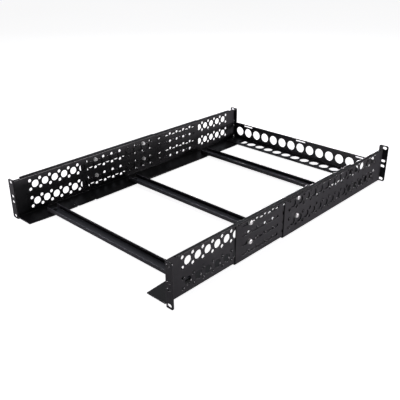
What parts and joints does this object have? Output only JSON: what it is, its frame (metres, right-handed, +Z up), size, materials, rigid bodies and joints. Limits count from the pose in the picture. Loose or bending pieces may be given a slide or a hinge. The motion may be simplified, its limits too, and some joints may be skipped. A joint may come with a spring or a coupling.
{
  "type": "rack mounting rail kit",
  "caption": "Depth-adjustable pair of perforated sheet-steel rack mounting brackets with slotted ears, joined by channel crossbars and a perforated cable bar.",
  "frame": {"origin": "middle of the kit's width and depth at rest, at the height of the ears' bottom edges", "axes": "+X to the right rail as seen from the front, +Y from the front ears towards the rear ears, +Z up"},
  "size_m": [0.4826, 0.7012, 0.0881],
  "materials": {
    "black_powder_coat": "satin black powder coat",
    "zinc_steel": "bright zinc plating",
    "black_zinc": "black zinc plating"
  },
  "bodies": {
    "front_frame": {"front_section_left": "black_powder_coat", "front_section_right": "black_powder_coat", "front_crossbar": "black_powder_coat", "middle_crossbar": "black_powder_coat", "front_crossbar_screws": "black_zinc", "middle_crossbar_screws": "black_zinc", "front_clamp_screws_left": "zinc_steel", "front_clamp_screws_right": "zinc_steel", "front_clamp_washers_left": "zinc_steel", "front_clamp_washers_right": "zinc_steel", "front_clamp_nuts_left": "zinc_steel", "front_clamp_nuts_right": "zinc_steel"},
    "mid_frame": {"mid_section_left": "black_powder_coat", "mid_section_right": "black_powder_coat", "rear_crossbar": "black_powder_coat", "rear_crossbar_screws": "black_zinc"},
    "rear_frame": {"rear_section_left": "black_powder_coat", "rear_section_right": "black_powder_coat", "cable_bar": "black_powder_coat", "cable_bar_screws": "black_zinc", "rear_clamp_screws_left": "zinc_steel", "rear_clamp_screws_right": "zinc_steel", "rear_clamp_washers_left": "zinc_steel", "rear_clamp_washers_right": "zinc_steel"}
  },
  "joints": [
    {"name": "mid_slide", "type": "slide", "parent": "front_frame", "child": "mid_frame", "axis": [0, 1, 0], "range_m": [-0.075, 0.019]},
    {"name": "rear_slide", "type": "slide", "parent": "mid_frame", "child": "rear_frame", "axis": [0, 1, 0], "range_m": [-0.0226, 0.0384]}
  ]
}
